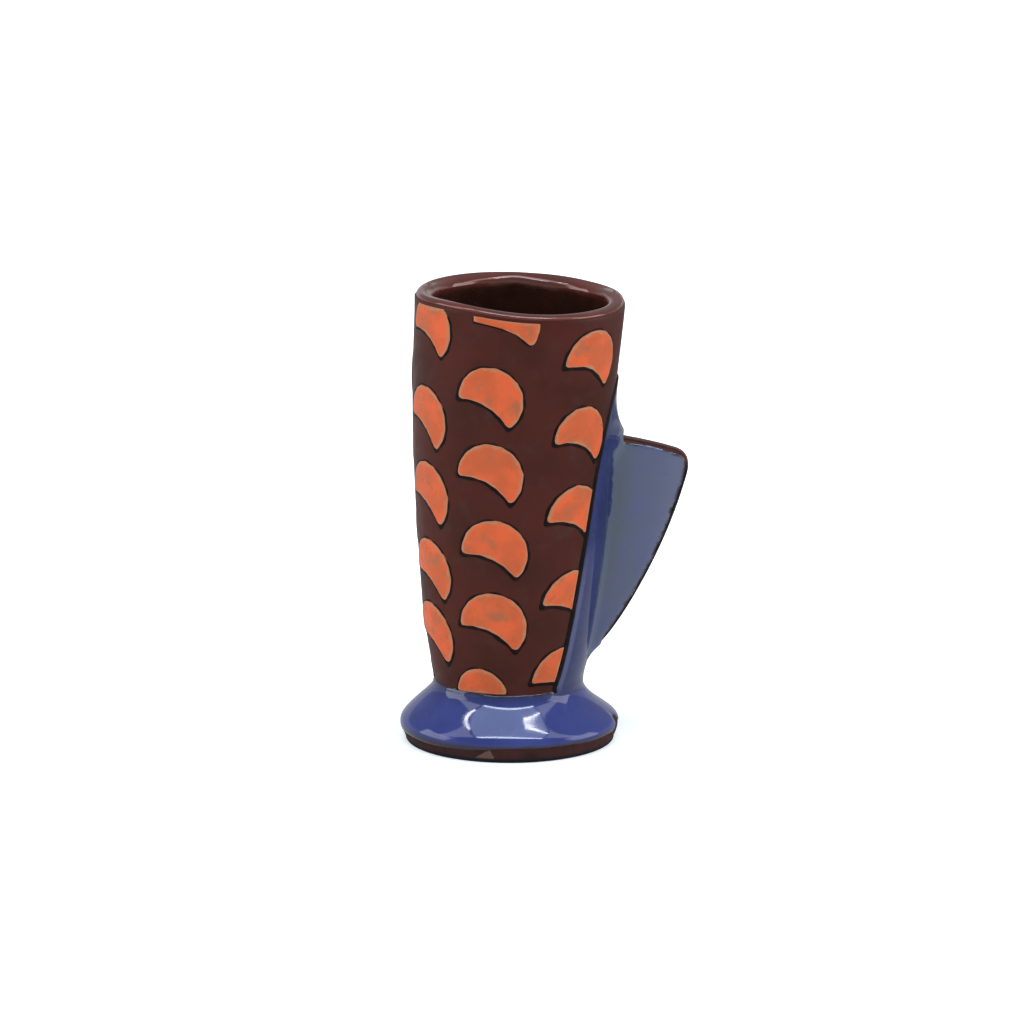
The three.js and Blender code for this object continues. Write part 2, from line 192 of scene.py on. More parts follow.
def by_hand(points):
    """Gives points of the ideal cup the real one's ripples, wavy rim and lean."""
    x, y, z = np.asarray(points, float).T
    angle = np.arctan2(y, x)
    radius = np.hypot(x, y)
    away_from_axis = smoothstep(4, 12, radius) * smoothstep(0, 6, z)

    ripple = sum(
        height * np.sin(count * angle + phase + z / pitch) for height, count, phase, pitch in WALL_RIPPLES
    )
    left, right = -np.cos(angle), np.cos(angle)
    flat_side = 0.45 * smoothstep(0.1, 1, left) * swell(z, 42, 20)
    pressed_neck = 0.7 * smoothstep(0.3, 1, right) * swell(z, 8.5, 2.6)
    ripple = ripple - flat_side - pressed_neck

    wave = waves(RIM_WAVES, angle)
    at_back = smoothstep(88, HEIGHT, z) * smoothstep(3, 12, y)
    inner_lip = smoothstep(21.6, 19.2, radius)
    peak = 0.42 * swell(x, -1.2, 3.4) - 0.5
    dip = 0.4 * swell(x, 0, 8)
    wave += at_back * (inner_lip * peak - dip)
    wave *= smoothstep(70, HEIGHT, z)

    scale = 1 + away_from_axis * ripple / np.maximum(radius, 1)
    x, y, z = x * scale, y * scale, z + away_from_axis * wave
    share = np.maximum(0, z - SEAM) / (HEIGHT - SEAM)
    slope = 2 * LEAN * share / (HEIGHT - SEAM)
    rim_shift = 0.55 * smoothstep(74, 93, z)
    base_shift = 0.25 * smoothstep(7.5, 3.5, z)
    neck_shift = 0.2 * swell(z, 9, 3)
    sway = LEAN * share**2 + rim_shift + (base_shift - neck_shift)
    return np.stack([x + sway, y, z - x * slope], axis=1)


def on_wall(across, z, lift, azimuth=0.0):
    """Points across millimetres round the wall from an azimuth, at height z and lift off the clay."""
    radius = body_radius(z) + lift
    angle = azimuth + across / radius
    return np.stack([radius * np.cos(angle), radius * np.sin(angle), z], axis=-1)


# --- The fin and the glazed body as distance fields ---


def fin_outline():
    """The fin's outline in its own plane, as (x, z): outer edge, corner, top, and root inside the wall."""
    edge = bezier([(15.5, 17.8), (22.4, 21.1), (32.3, 41.7), (36.4, 57.4)], 26)
    corner = bezier([(36.4, 57.4), (37.7, 62), (34, 63.1)], 12)
    top = bezier([(34, 63.1), (29, 64.5), (22, 65.6), (18, 65.8)], 6)
    heights = np.linspace(64, 16, 16)
    root = np.stack([wall_radius(heights) - 0.5 * WALL, heights], axis=1)
    return np.concatenate([edge, corner[1:], top[1:], root])


FIN = fin_outline()


def outside_fin(x, z):
    """Distance outside the fin's outline in its own plane; negative inside."""
    nearest = np.full(np.broadcast(x, z).shape, 1e9)
    crossings = np.zeros(nearest.shape, bool)
    for (ax, az), (bx, bz) in zip(FIN, np.roll(FIN, -1, axis=0)):
        ex, ez = bx - ax, bz - az
        wx, wz = x - ax, z - az
        along = np.clip((wx * ex + wz * ez) / (ex * ex + ez * ez), 0, 1)
        nearest = np.minimum(nearest, (wx - ex * along) ** 2 + (wz - ez * along) ** 2)
        if ez:
            crossings ^= ((az > z) != (bz > z)) & (wx < ex * wz / ez)
    return np.where(crossings, -1, 1) * np.sqrt(nearest)


def fin_distance(x, y, z):
    """Distance outside the fin: a slab with rounded edges, a little thinner towards its tip."""
    profile = outside_fin(x, z) + FIN_EDGE_ROUND
    thinner_tip = 0.25 * smoothstep(24, 38, x)
    uneven = 0.08 * np.sin(z / 6) * np.cos(x / 5)
    half = FIN_THICKNESS / 2 - thinner_tip + uneven
    warp = 0.15 * np.sin(z / 17)
    side = np.abs(y + warp) - half + FIN_EDGE_ROUND
    beyond = np.hypot(np.maximum(profile, 0), np.maximum(side, 0))
    return beyond + np.minimum(np.maximum(profile, side), 0) - FIN_EDGE_ROUND


def body_distance(x, y, z):
    """Distance outside the solid of revolution that beaker and foot make together."""
    step = 0.05
    slope = (body_radius(z + step) - body_radius(z - step)) / (2 * step)
    return (np.hypot(x, y) - body_radius(z)) / np.sqrt(1 + slope**2)


def coil_distance(x, y, z):
    """The body and the fin joined by a hollow coil, which runs wider and further up above the fin."""
    stretch = 1 - 0.55 * smoothstep(62, 67, z)
    to_body = body_distance(x, y, z)
    to_fin = fin_distance(x, y, z) * stretch
    radius = COIL_RADIUS + 2.6 * smoothstep(59, 65, z)
    hollow = np.hypot(np.maximum(radius - to_body, 0), np.maximum(radius - to_fin, 0))
    return np.maximum(radius, np.minimum(to_body, to_fin)) - hollow


def outside_arch(across, z):
    """Distance outside the black line's arch on the unrolled wall; negative inside it."""
    half_width, spring, crown = (LINE_ARCH[key] for key in ("half_width", "spring", "crown"))
    rise = np.maximum(0, z - spring) / (crown - spring)
    width = half_width * np.sqrt(np.maximum(1 - rise**2, 0))
    return np.where(rise < 1, np.abs(across) - width, np.hypot(across, z - crown))


def glaze_top(angle):
    """Height on the neck where the blue glaze of the foot ends."""
    return SEAM + 0.1 + waves(GLAZE_TOP_WAVES, angle)


def outside_glaze(x, y, z):
    """How far a place on the body is outside the blue glaze; negative where it is glazed."""
    angle = np.arctan2(y, x)
    across = angle * body_radius(z)
    far_outside = 50
    panel = np.where(np.abs(angle) < 1.6, outside_arch(across, z), far_outside)
    bare_notch = 2.2 * swell(angle, -0.12, 0.1)
    long_drip = 0.7 * smoothstep(0.45, 1, np.cos(angle + 2.75))
    foot_rim = FOOT_EDGE - 0.9 + waves(FOOT_RIM_WAVES, angle) + bare_notch - long_drip
    foot = np.maximum(z - glaze_top(angle), foot_rim - z)
    wear = 0.1 * np.sin(z / 1.9) * np.sin(x / 1.3 + 1) + 0.06 * np.sin(z / 0.9 + x)
    on_fin = smoothstep(1.2, 2.6, np.hypot(x, y) - body_radius(z))
    side_share = 1.4 * smoothstep(18.5, 25, z) - 0.4
    top_share = 0.35 * smoothstep(59, 62, z)
    bare = FIN_BARE_EDGE * (side_share - top_share)
    well_inside = -6
    fin = on_fin * (outside_fin(x, z) + bare + wear) + well_inside * (1 - on_fin)
    return np.maximum(np.minimum(panel, foot), np.maximum(fin, foot_rim - z))


# --- Mesh tools ---


def clean_object(name, points, faces, skin, **marks):
    """A smooth-shaded object of a material, from points on the ideal cup. Each mark is a value per point that
    the material reads by name."""
    points = by_hand(points)
    mesh = bpy.data.meshes.new(name)
    mesh.from_pydata((points * MM).tolist(), [], [list(map(int, face)) for face in faces])
    mesh.validate()
    mesh.polygons.foreach_set("use_smooth", [True] * len(mesh.polygons))
    for mark, values in marks.items():
        mesh.attributes.new(mark, "FLOAT", "POINT").data.foreach_set("value", np.asarray(values, float))
    mesh.materials.append(skin)
    piece = bpy.data.objects.new(name, mesh)
    bpy.context.scene.collection.objects.link(piece)
    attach(piece, "root")
    return piece


def strip_faces(rings):
    """Quads between successive closed rings, given as arrays of point indices."""
    faces = []
    for low, high in zip(rings, rings[1:]):
        for j in range(len(low)):
            k = (j + 1) % len(low)
            faces.append((low[j], low[k], high[k], high[j]))
    return faces


def fan_faces(ring, tip, flip):
    """Triangles from a ring of point indices to a single point."""
    pairs = zip(ring, np.roll(ring, -1))
    return [(b, a, tip) if flip else (a, b, tip) for a, b in pairs]


def turned(profile, vary):
    """Points and faces of a solid of revolution. The profile runs anticlockwise, as (radius, z), from the
    axis to the axis. vary(angle, radius, z) is added to the radii."""
    angles = np.linspace(0, 2 * math.pi, ROUND_STEPS, endpoint=False)
    middle = np.array(profile[1:-1])
    radii = np.repeat(middle[:, :1], ROUND_STEPS, axis=1)
    heights = np.repeat(middle[:, 1:], ROUND_STEPS, axis=1)
    radii = radii + vary(angles[None, :], radii, heights)
    points = np.stack([radii * np.cos(angles), radii * np.sin(angles), heights], axis=-1).reshape(-1, 3)
    ends = [(0, 0, profile[0][1]), (0, 0, profile[-1][1])]
    rings = np.arange(len(points)).reshape(len(middle), ROUND_STEPS)
    faces = strip_faces(rings)
    faces += fan_faces(rings[0], len(points), True) + fan_faces(rings[-1], len(points) + 1, False)
    return np.concatenate([points, ends]), faces


def arc(centre, radius, start, end, steps):
    """Points of a circular arc, in degrees."""
    angles = np.radians(np.linspace(start, end, steps + 1))
    return [(centre[0] + radius * math.cos(a), centre[1] + radius * math.sin(a)) for a in angles]


def gradient(field, points):
    """Slope of a field at points, by central differences."""
    step = 0.02
    slopes = []
    for axis in range(3):
        nudge = np.zeros(3)
        nudge[axis] = step
        slopes.append((field(*(points + nudge).T) - field(*(points - nudge).T)) / (2 * step))
    return np.stack(slopes, axis=1)


def settle(field, points, rounds=4):
    """Moves points onto the zero surface of a field."""
    for _ in range(rounds):
        slope = gradient(field, points)
        size = np.maximum((slope**2).sum(1), 1e-9)
        points = points - slope * (field(*points.T) / size)[:, None]
    return points


def surface_net(field, low, high, cell, wanted=None):
    """Points and outward quads of the zero surface of a field, with one point for each grid cell that it
    crosses. wanted(x, y, z) may leave out cells."""
    x, y, z = (np.arange(a, b + cell, cell) for a, b in zip(low, high))
    values = field(x[:, None, None], y[None, :, None], z[None, None, :])
    inside = values < 0
    corner_count = sum(
        inside[i : len(x) - 1 + i, j : len(y) - 1 + j, k : len(z) - 1 + k].astype(np.int8)
        for i in (0, 1)
        for j in (0, 1)
        for k in (0, 1)
    )
    active = (corner_count > 0) & (corner_count < 8)
    cells = np.argwhere(active)
    points = np.stack([axis[cells[:, i]] for i, axis in enumerate((x, y, z))], axis=1) + cell / 2
    if wanted is not None:
        keep = wanted(*points.T)
        cells, points = cells[keep], points[keep]
    no_point = -1
    index = np.full(active.shape, no_point)
    index[tuple(cells.T)] = np.arange(len(cells))
    faces = []
    for axis in range(3):
        side_a, side_b = [other for other in range(3) if other != axis]
        if axis == 1:
            side_a, side_b = side_b, side_a
        change = np.diff(inside.astype(np.int8), axis=axis)
        edges = np.argwhere(change != 0)
        last = np.array(active.shape)
        ok = np.ones(len(edges), bool)
        for side in (side_a, side_b):
            ok &= (edges[:, side] > 0) & (edges[:, side] < last[side])
        edges = edges[ok]
        leaving = change[tuple(edges.T)] < 0
        ring = []
        for da, db in ((0, 0), (-1, 0), (-1, -1), (0, -1)):
            at = edges.copy()
            at[:, side_a] += da
            at[:, side_b] += db
            ring.append(index[tuple(at.T)])
        quads = np.stack(ring, axis=1)
        quads = np.where(leaving[:, None], quads, quads[:, ::-1])
        faces.append(quads[(quads != no_point).all(axis=1)])
    return points, np.concatenate(faces)


def relaxed(field, points, faces, rounds):
    """Evens out a net's points by averaging each with its neighbours and settling it on the surface again."""
    sides = np.concatenate([faces[:, [i, (i + 1) % faces.shape[1]]] for i in range(faces.shape[1])])
    sides = np.concatenate([sides, sides[:, ::-1]])
    degree = np.maximum(np.bincount(sides[:, 0], minlength=len(points)), 1)[:, None]
    for _ in range(rounds):
        sums = [np.bincount(sides[:, 0], side, minlength=len(points)) for side in points[sides[:, 1]].T]
        points = settle(field, 0.5 * points + 0.5 * np.stack(sums, axis=1) / degree, 1)
    return points


def clipped(points, triangles, outside):
    """The part of a triangle mesh where a value per point is negative, with new points where it is zero."""
    points = list(points)
    outside = list(outside)
    cuts = {}

    def cut(a, b):
        key = (min(a, b), max(a, b))
        if key not in cuts:
            share = outside[a] / (outside[a] - outside[b])
            cuts[key] = len(points)
            points.append(points[a] + share * (points[b] - points[a]))
            outside.append(0.0)
        return cuts[key]

    kept = []
    for triangle in triangles:
        inner = [outside[i] <= 0 for i in triangle]
        if all(inner):
            kept.append(tuple(triangle))
        elif any(inner):
            shape = []
            for i in range(3):
                a, b = triangle[i], triangle[(i + 1) % 3]
                if inner[i]:
                    shape.append(a)
                if inner[i] != inner[(i + 1) % 3] and outside[a] != 0 and outside[b] != 0:
                    shape.append(cut(a, b))
            kept += [(shape[0], shape[i], shape[i + 1]) for i in range(1, len(shape) - 1)]
    kept = np.array([t for t in kept if len(set(t)) == 3])
    used = np.unique(kept)
    renumber = np.zeros(len(points), int)
    renumber[used] = np.arange(len(used))
    return np.array(points)[used], renumber[kept], np.array(outside)[used]


def border_edges(triangles):
    """Directed edges that only one triangle has."""
    edges = np.concatenate([triangles[:, [0, 1]], triangles[:, [1, 2]], triangles[:, [2, 0]]])
    present = {tuple(edge) for edge in edges}
    return [edge for edge in present if (edge[1], edge[0]) not in present]


# --- Materials ---


class Skin:
    """A procedural material: a Principled shader, and the few kinds of node that this cup needs."""

    def __init__(self, name, **sockets):
        self.material = bpy.data.materials.new(name)
        self.material.use_nodes = True
        self.tree = self.material.node_tree
        self.shader = self.tree.nodes["Principled BSDF"]
        for socket, value in sockets.items():
            self.shader.inputs[socket.replace("_", " ")].default_value = value
        self.place = self.tree.nodes.new("ShaderNodeTexCoord").outputs["Object"]

    def link(self, source, target):
        self.tree.links.new(source, target)

    def noise(self, size, detail=3.0):
        """Soft noise with features of about size millimetres."""
        node = self.tree.nodes.new("ShaderNodeTexNoise")
        self.link(self.place, node.inputs["Vector"])
        node.inputs["Scale"].default_value = 1 / (size * MM)
        node.inputs["Detail"].default_value = detail
        node.inputs["Roughness"].default_value = 0.55
        return node.outputs["Fac"]

    def mark(self, name):
        """A value that the mesh carries for each point, such as its distance from the piece's edge."""
        node = self.tree.nodes.new("ShaderNodeAttribute")
        node.attribute_name = name
        return node.outputs["Fac"]

    def range(self, value, low, high, to_low=0.0, to_high=1.0):
        """A value's smooth step from low to high, as a number between to_low and to_high."""
        node = self.tree.nodes.new("ShaderNodeMapRange")
        node.interpolation_type = "SMOOTHSTEP"
        self.link(value, node.inputs["Value"])
        sockets = ("From Min", "From Max", "To Min", "To Max")
        for socket, number in zip(sockets, (low, high, to_low, to_high)):
            node.inputs[socket].default_value = number
        return node.outputs["Result"]

    def soft(self, size, low, high, detail=3.0):
        """Noise that spreads evenly from low to high."""
        return self.range(self.noise(size, detail), 0.3, 0.7, low, high)

    def math(self, operation, a, b):
        node = self.tree.nodes.new("ShaderNodeMath")
        node.operation = operation
        self.link(a, node.inputs[0])
        self.link(b, node.inputs[1])
        return node.outputs["Value"]

    def mix(self, share, a, b):
        """A colour between a and b; each is a colour or another node's output."""
        node = self.tree.nodes.new("ShaderNodeMix")
        node.data_type = "RGBA"
        self.link(share, node.inputs["Factor"])
        for socket, value in ((node.inputs[6], a), (node.inputs[7], b)):
            if isinstance(value, tuple):
                socket.default_value = (*value, 1)
            else:
                self.link(value, socket)
        return node.outputs[2]

    def clouds(self, size, a, b, detail=3.0):
        """Two colours, in soft clouds of about size millimetres."""
        return self.mix(self.range(self.noise(size, detail), 0.35, 0.65), a, b)

    def bump(self, height, depth):
        """Relief of depth millimetres from a height between 0 and 1."""
        node = self.tree.nodes.new("ShaderNodeBump")
        node.inputs["Distance"].default_value = depth * MM
        self.link(height, node.inputs["Height"])
        self.link(node.outputs["Normal"], self.shader.inputs["Normal"])

    def finish(self, colour, roughness):
        self.link(colour, self.shader.inputs["Base Color"])
        self.link(roughness, self.shader.inputs["Roughness"])
        return self.material


def brown_slip():
    """Red-brown slip with a dull sheen, greyer in some places and redder in others."""
    skin = Skin("brown_slip", Specular_IOR_Level=0.1)
    broad = skin.clouds(16, (0.039, 0.009, 0.0056), (0.054, 0.01, 0.0064))
    patchy = skin.mix(skin.range(skin.noise(5, 4), 0.5, 0.85), broad, (0.044, 0.017, 0.013))
    speckled = skin.mix(skin.range(skin.noise(0.5, 2), 0.68, 0.8), patchy, (0.034, 0.0125, 0.0095))
    skin.bump(skin.noise(0.6, 4), 0.025)
    return skin.finish(speckled, skin.soft(2.5, 0.34, 0.44))


def fin_slip():
    """The fin's worn edge: red-brown along its top, and nearly black down its outer side, where the
    near-black is painted shade.
    """
    skin = Skin("fin_slip", Specular_IOR_Level=0.08)
    top = skin.mix(skin.range(skin.noise(5, 4), 0.4, 0.7), (0.05, 0.012, 0.009), (0.075, 0.017, 0.014))
    # The outer side's nearly black colour is painted shade on the bare clay, not the clay's own colour.
    side = skin.mix(skin.range(skin.noise(3, 4), 0.4, 0.7), (0.007, 0.004, 0.004), (0.016, 0.006, 0.006))
    skin.bump(skin.noise(0.6, 4), 0.025)
    return skin.finish(skin.mix(skin.mark("upper"), side, top), skin.soft(2.5, 0.24, 0.36))


def bare_clay():
    """Fired clay without glaze, on the foot's underside and bevel, with a bluish-black painted contact shadow
    along its lowest millimetre.
    """
    skin = Skin("bare_clay", Specular_IOR_Level=0.1)
    broad = skin.clouds(7, (0.02, 0.01, 0.008), (0.042, 0.012, 0.0105), detail=4)
    chips = skin.mix(skin.range(skin.mark("chip"), -0.1, 0.15), broad, (0.1, 0.052, 0.042))
    grit = skin.mix(skin.range(skin.noise(0.35, 2), 0.62, 0.72), chips, (0.015, 0.008, 0.0065))
    # Painted contact shadow: bluish black on the underside and up to about a millimetre, fading out by 1.2
    # mm.
    painted_contact_shadow = skin.mix(skin.range(skin.mark("height"), 0.2, 1.2), (0.004, 0.006, 0.014), grit)
    skin.bump(skin.noise(0.5, 5), 0.07)
    return skin.finish(painted_contact_shadow, skin.soft(1.5, 0.55, 0.8))


def blue_glaze():
    """Cobalt glaze: deep on the foot, darker in the panel beside the fin, milky and thin over the fin itself,
    and letting the clay show through at its edges. A paler strip just inside the black line is a painted
    reflection, and the darkening towards the foot's lower border is painted shade."""
    skin = Skin("blue_glaze", Specular_IOR_Level=0.5, IOR=1.5)
    height = skin.mark("height")
    foot = skin.clouds(12, (0.021, 0.03, 0.14), (0.03, 0.042, 0.17))
    panel = skin.clouds(9, (0.0125, 0.017, 0.062), (0.0175, 0.023, 0.08))
    # The foot's blue gives way to the panel's darker blue up the neck, between 9.5 and 13 mm.
    neck_to_panel = skin.mix(skin.range(height, 9.5, 13), foot, panel)
    # Painted reflection: a paler, greyer blue in a strip just inside the black line.
    painted_reflection = skin.mix(skin.mark("reflection_by_line"), neck_to_panel, (0.045, 0.053, 0.115))
    out_on_fin = skin.math("ADD", skin.mark("off_wall"), skin.soft(2.5, -0.25, 0.25))
    milky = skin.clouds(7, (0.069, 0.079, 0.125), (0.067, 0.076, 0.145))
    from_greener = skin.math("ADD", out_on_fin, skin.range(height, 28, 38, 3.5, 0))
    greener = skin.mix(skin.range(from_greener, 2.5, 6), (0.066, 0.078, 0.108), milky)
    paler = skin.mix(skin.range(out_on_fin, 8, 15), greener, (0.083, 0.089, 0.143))
    broad = skin.mix(skin.range(out_on_fin, 0.35, 0.8), painted_reflection, paler)
    mottled = skin.mix(skin.range(skin.noise(1.8, 4), 0.6, 0.9), broad, (0.05, 0.066, 0.15))
    ragged = skin.math("ADD", skin.mark("edge"), skin.soft(1.1, -0.2, 0.2))
    thin = skin.mix(skin.range(ragged, 0.0, 0.7), (0.02, 0.015, 0.018), mottled)
    # Painted shade: the glaze darkens to a brownish black towards and below the foot's widest ring.
    above_border = skin.range(height, FOOT_EDGE - 1.3, FOOT_EDGE + 0.6)
    shaded_to_border = skin.mix(above_border, (0.02, 0.013, 0.014), thin)
    skin.bump(skin.noise(5, 2), 0.01)
    return skin.finish(shaded_to_border, skin.soft(2, 0.05, 0.1))


def orange_slip():
    """Orange slip under a thin glaze: redder and greyer clouds, tan margins and a few grey specks."""
    skin = Skin("orange_slip", Specular_IOR_Level=0.15)
    broad = skin.clouds(6, (0.37, 0.069, 0.021), (0.49, 0.077, 0.022))
    greyer = skin.mix(skin.range(skin.noise(3.2), 0.52, 0.72), broad, (0.28, 0.08, 0.032))
    specks = skin.mix(skin.range(skin.noise(0.8), 0.68, 0.8), greyer, (0.25, 0.085, 0.04))
    ragged = skin.math("ADD", skin.mark("edge"), skin.soft(1.5, -0.3, 0.3, detail=2))
    margin = skin.mix(skin.range(ragged, 0.1, 0.9), (0.33, 0.125, 0.06), specks)
    skin.bump(skin.noise(0.9), 0.025)
    return skin.finish(margin, skin.soft(2, 0.26, 0.4))


def black_line():
    """Black line, drawn into the clay with a brush."""
    skin = Skin("black_line", Specular_IOR_Level=0.1)
    black, brownish = (0.005, 0.003, 0.003), (0.014, 0.006, 0.005)
    colour = skin.mix(skin.range(skin.noise(1.4), 0.4, 0.75), black, brownish)
    skin.bump(skin.noise(0.5), 0.03)
    return skin.finish(colour, skin.soft(1, 0.4, 0.6))


def liner_glaze():
    """Clear glaze over the lip and inside the beaker: brown at the lip, and nearly black further down."""
    skin = Skin("liner_glaze", Specular_IOR_Level=1.0, Specular_Tint=(1, 0.74, 0.68, 1))
    lip = skin.clouds(9, (0.075, 0.0165, 0.012), (0.105, 0.021, 0.016))
    deep = skin.clouds(6, (0.024, 0.0088, 0.006), (0.036, 0.012, 0.008))
    colour = skin.mix(skin.range(skin.mark("depth"), 0.9, 2.7), lip, deep)
    skin.bump(skin.noise(4, 2), 0.05)
    return skin.finish(colour, skin.soft(3, 0.06, 0.12))


# --- Pieces ---


def lip_variation(angle, radius, z):
    """The inside of the lip is thicker in some places than in others."""
    inner = smoothstep(1.2, 2.2, body_radius(z) - radius) * smoothstep(70, 92, z)
    return -inner * waves(LIP_WAVES, angle)


def inside_profile(inset, top):
    """The beaker's inside from a height down to the middle of its floor, moved in by inset."""
    corner = FLOOR_CORNER - inset
    corner_top = FLOOR + FLOOR_CORNER
    heights = np.linspace(top, corner_top, 46)
    wall = [(wall_radius(z) - WALL - inset, z) for z in heights]
    round_part = arc((wall[-1][0] - corner, corner_top), corner, 0, -90, 10)[1:]
    floor = [(round_part[-1][0] * share, FLOOR + inset) for share in (0.75, 0.5, 0.25)]
    return [*wall, *round_part, *floor, (0, FLOOR + inset)]


def lip_profile(lift):
    """Over the rounded lip from its outer side to its inner side, lift off the clay."""
    top = HEIGHT - RIM_ROUND
    radius = RIM_ROUND + lift
    outer = arc((wall_radius(top) - RIM_ROUND, top), radius, 35, 90, 8)
    return outer + arc((wall_radius(top) - WALL + RIM_ROUND, top), radius, 90, 180, 10)


def add_beaker(skin):
    """The thrown beaker with its thick rounded lip, cut off flat under the blue glaze of the neck."""
    bottom = SEAM - 1.2
    top = HEIGHT - RIM_ROUND
    heights = np.linspace(bottom, top, 96)
    outside = [(body_radius(z), z) for z in heights]
    lip = arc((outside[-1][0] - RIM_ROUND, top), RIM_ROUND, 0, 90, 8)[1:]
    inner_lip = arc((wall_radius(top) - WALL + RIM_ROUND, top), RIM_ROUND, 90, 180, 8)
    profile = [(0, bottom), (7, bottom), *outside, *lip, *inner_lip, *inside_profile(0, top)[1:]]
    points, faces = turned(profile, lip_variation)
    piece = clean_object("beaker_wall", points, faces, skin)
    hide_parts("beaker")


def add_liner(skin):
    """A coat of clear glaze that starts at nothing on the lip's outer side and runs down the whole inside."""
    top = HEIGHT - RIM_ROUND
    coat, bed = 0.16, 0.1
    glazed = np.array(lip_profile(coat)[:-1])
    clay = np.array(lip_profile(-0.02)[:-1])
    fade = np.clip(1 - np.arange(len(clay)) / 4, 0, 1)[:, None] ** 2
    over = [*(glazed * (1 - fade) + clay * fade), *inside_profile(coat, top)[1:]]
    under = [*lip_profile(-bed), *inside_profile(-bed, top)[1:]]
    points, faces = turned([*reversed(under), *over], lip_variation)
    depth = np.maximum(0, HEIGHT - points[:, 2])
    piece = clean_object("liner_coat", points, facing_out(points, faces), skin, depth=depth)
    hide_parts("liner_glaze")


def add_foot(skin):
    """The foot's clay: a flat base, an undercut bevel and the flare under its glaze."""
    top = SEAM - 0.6
    base_round = arc((BASE_RADIUS - 0.1, 0.5), 0.5, -90, -15, 4)
    side = [(body_radius(z) - 0.02, z) for z in np.linspace(0.55, top, 44)]
    profile = [(0, 0), (8, 0), (15, 0), *base_round, *side, (7, top), (0, top)]

    def inside_chip(angle, z):
        """How far inside the chip's triangle a place on the bevel is; negative outside it."""
        chip_azimuth = math.radians(256)
        chip_bottom = 0.9
        across = (np.mod(angle, 2 * math.pi) - chip_azimuth) * FOOT_RADIUS
        up = z - chip_bottom
        right = 2.4 - across - 0.5 * up
        left = 2.2 + across - 1.6 * up
        return np.minimum(up, np.minimum(right, left))

    def chipped(angle, radius, z):
        return -0.12 * smoothstep(-0.1, 0.3, inside_chip(angle, z)) * (radius > BASE_RADIUS)

    points, faces = turned(profile, chipped)
    chip = np.clip(inside_chip(np.arctan2(points[:, 1], points[:, 0]), points[:, 2]), -1, 1)
    piece = clean_object("foot_clay", points, faces, skin, chip=chip, height=points[:, 2])
    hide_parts("foot")


def add_fin(skin):
    """The slab handle, with its root inside the beaker's wall."""
    low = (FIN[:, 0].min() - 1, -FIN_THICKNESS, FIN[:, 1].min() - 1)
    high = (FIN[:, 0].max() + 1, FIN_THICKNESS, FIN[:, 1].max() + 1)
    points, faces = surface_net(fin_distance, low, high, FIN_CELL)
    points = relaxed(fin_distance, settle(fin_distance, points), faces, 3)
    corner_height, fade = 67.5, 2.5
    above_corner = points[:, 2] + 0.25 * points[:, 0] - corner_height
    # upper is 1 along the fin's top and 0 down its outer side, which fin_slip paints in shade.
    piece = clean_object("fin_slab", points, faces, skin, upper=np.clip(above_corner / fade, 0, 1))
    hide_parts("fin_handle")


def glaze_net():
    """Triangles of the glazed body's surface that carry the blue glaze, and how far each point is outside it.
    Points near the glaze's border are moved onto it, which keeps slivers away."""

    def wanted(x, y, z):
        return outside_glaze(x, y, z) < 2 * GLAZE_CELL

    low = (-FOOT_RADIUS - 1, -FOOT_RADIUS - 1, FOOT_EDGE - 3.5)
    high = (FIN[:, 0].max() + 1, FOOT_RADIUS + 1, LINE_ARCH["crown"] + 1)
    points, quads = surface_net(coil_distance, low, high, GLAZE_CELL, wanted)
    points = relaxed(coil_distance, settle(coil_distance, points), quads, 3)
    outside = outside_glaze(*points.T)
    near = np.abs(outside) < 0.3 * GLAZE_CELL
    slope = gradient(outside_glaze, points[near])
    normal = gradient(coil_distance, points[near])
    normal /= np.linalg.norm(normal, axis=1)[:, None]
    slope -= normal * (slope * normal).sum(1)[:, None]
    size = np.maximum((slope**2).sum(1), 0.2)
    points[near] -= slope * (outside[near] / size)[:, None]
    points[near] = settle(coil_distance, points[near], 2)
    outside = outside_glaze(*points.T)
    outside[near] = np.minimum(outside[near], 0)
    outside[np.abs(outside) < 1e-3] = 0
    triangles = np.concatenate([quads[:, [0, 1, 2]], quads[:, [0, 2, 3]]])
    return clipped(points, triangles, outside)


def sunk_to_clay(points, normals, depth):
    """Moves points inwards along their normals until they are depth inside the body or the fin."""

    def hard(p):
        x, y, z = p.T
        return np.minimum(body_distance(x, y, z), fin_distance(x, y, z))

    deepest = 6.0
    near = np.zeros(len(points))
    far = np.full(len(points), deepest)
    for _ in range(24):
        middle = (near + far) / 2
        inside = hard(points - normals * middle[:, None]) < -depth
        far = np.where(inside, middle, far)
        near = np.where(inside, near, middle)
    return points - normals * far[:, None]


